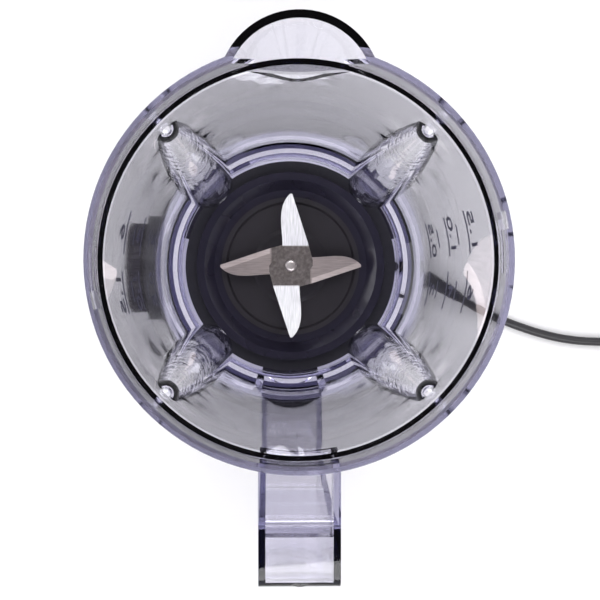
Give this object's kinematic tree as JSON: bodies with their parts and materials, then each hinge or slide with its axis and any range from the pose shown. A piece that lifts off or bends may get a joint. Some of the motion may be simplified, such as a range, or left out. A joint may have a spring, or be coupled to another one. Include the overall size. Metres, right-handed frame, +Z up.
{
  "type": "countertop blender",
  "caption": "Countertop blender with a clear ribbed jar, pour spout and open grip, a crossed-blade unit, and a tapered motor base with a front control knob and a mains lead.",
  "frame": {"origin": "on the jar and motor axis, on the surface the foot ring stands on", "axes": "+Z up along the jar's axis, -Y towards the front with the control knob, +X towards the handle, so the pouring lip is at -X and the lead leaves at +Y"},
  "size_m": [0.1963, 0.3765, 0.372],
  "materials": {
    "white_plastic": "glossy white",
    "dark_plastic": "black, satin",
    "grey_plastic": "dark grey, satin",
    "seat_plastic": "glossy white",
    "fan_plastic": "natural",
    "clear_plastic": "clear with a faint lilac tint",
    "rubber": "black, matt",
    "steel": "plated",
    "dark_steel": "dark satin",
    "blade_steel": "ground and brushed",
    "lamination": "varnished steel sheets",
    "winding": "enamelled copper",
    "copper": "turned copper",
    "bronze": "sintered bronze",
    "carbon": "carbon",
    "pin_metal": "nickel-plated brass"
  },
  "bodies": {
    "base": {"base_housing": "white_plastic", "base_cover": "dark_plastic", "foot_ring": "rubber", "cover_screws": "steel", "front_panel": "grey_plastic", "dial_ring": "dark_plastic", "selector_switch": "dark_plastic", "selector_nut": "steel", "jar_seat": "seat_plastic", "interlock_guide": "dark_plastic", "interlock_spring": "steel", "interlock_switch": "dark_plastic", "stator_core": "lamination", "field_windings": "winding", "upper_bracket": "steel", "lower_bracket": "steel", "motor_bushes": "bronze", "tie_bolts": "steel", "tie_nuts": "steel", "stator_spacers": "steel", "motor_grommets": "rubber", "motor_screws": "steel", "brush_holders": "dark_plastic", "carbon_brushes": "carbon", "cord_sleeve": "rubber", "cord_clamp": "dark_plastic", "clamp_screws": "steel", "terminal_block": "dark_plastic", "cord_tube": "rubber", "cord_coil": "rubber", "cord_tail": "rubber", "plug_body": "rubber", "plug_pins": "pin_metal"},
    "rotor": {"motor_shaft": "steel", "armature_core": "lamination", "armature_winding": "winding", "commutator": "copper", "cooling_fan": "fan_plastic", "drive_coupling": "dark_plastic"},
    "knob": {"knob_shaft": "steel", "control_knob": "dark_plastic"},
    "interlock": {"interlock_pin": "dark_plastic"},
    "jar": {"jar_body": "clear_plastic", "jar_handle": "clear_plastic", "blade_collar": "dark_plastic", "collar_gasket": "rubber", "collar_disc": "dark_steel", "spindle_bushes": "bronze", "spindle_seal": "rubber"},
    "blades": {"spindle": "steel", "blade_washer": "steel", "lower_blade": "blade_steel", "upper_blade": "blade_steel", "driven_coupling": "dark_plastic"}
  },
  "joints": [
    {"name": "motor_spin", "type": "hinge", "parent": "base", "child": "rotor", "pos_m": [0, 0, 0.1], "axis": [0, 0, 1], "continuous": true},
    {"name": "jar_lift", "type": "slide", "parent": "base", "child": "jar", "axis": [0, 0, 1], "range_m": [0, 0.06]},
    {"name": "blade_spin", "type": "hinge", "parent": "jar", "child": "blades", "pos_m": [0, 0, 0.18], "axis": [0, 0, 1], "continuous": true},
    {"name": "interlock_press", "type": "slide", "parent": "base", "child": "interlock", "axis": [0, 0, 1], "range_m": [0, 0.002], "deforming": ["interlock_spring"]},
    {"name": "knob_turn", "type": "hinge", "parent": "base", "child": "knob", "pos_m": [0, -0.078, 0.075], "axis": [0, 1, 0], "range_deg": [-45, 135]}
  ],
  "couplings": [
    {"joint": "blade_spin", "follows": "motor_spin", "ratio": 1},
    {"joint": "interlock_press", "follows": "jar_lift", "ratio": 0.033333}
  ]
}
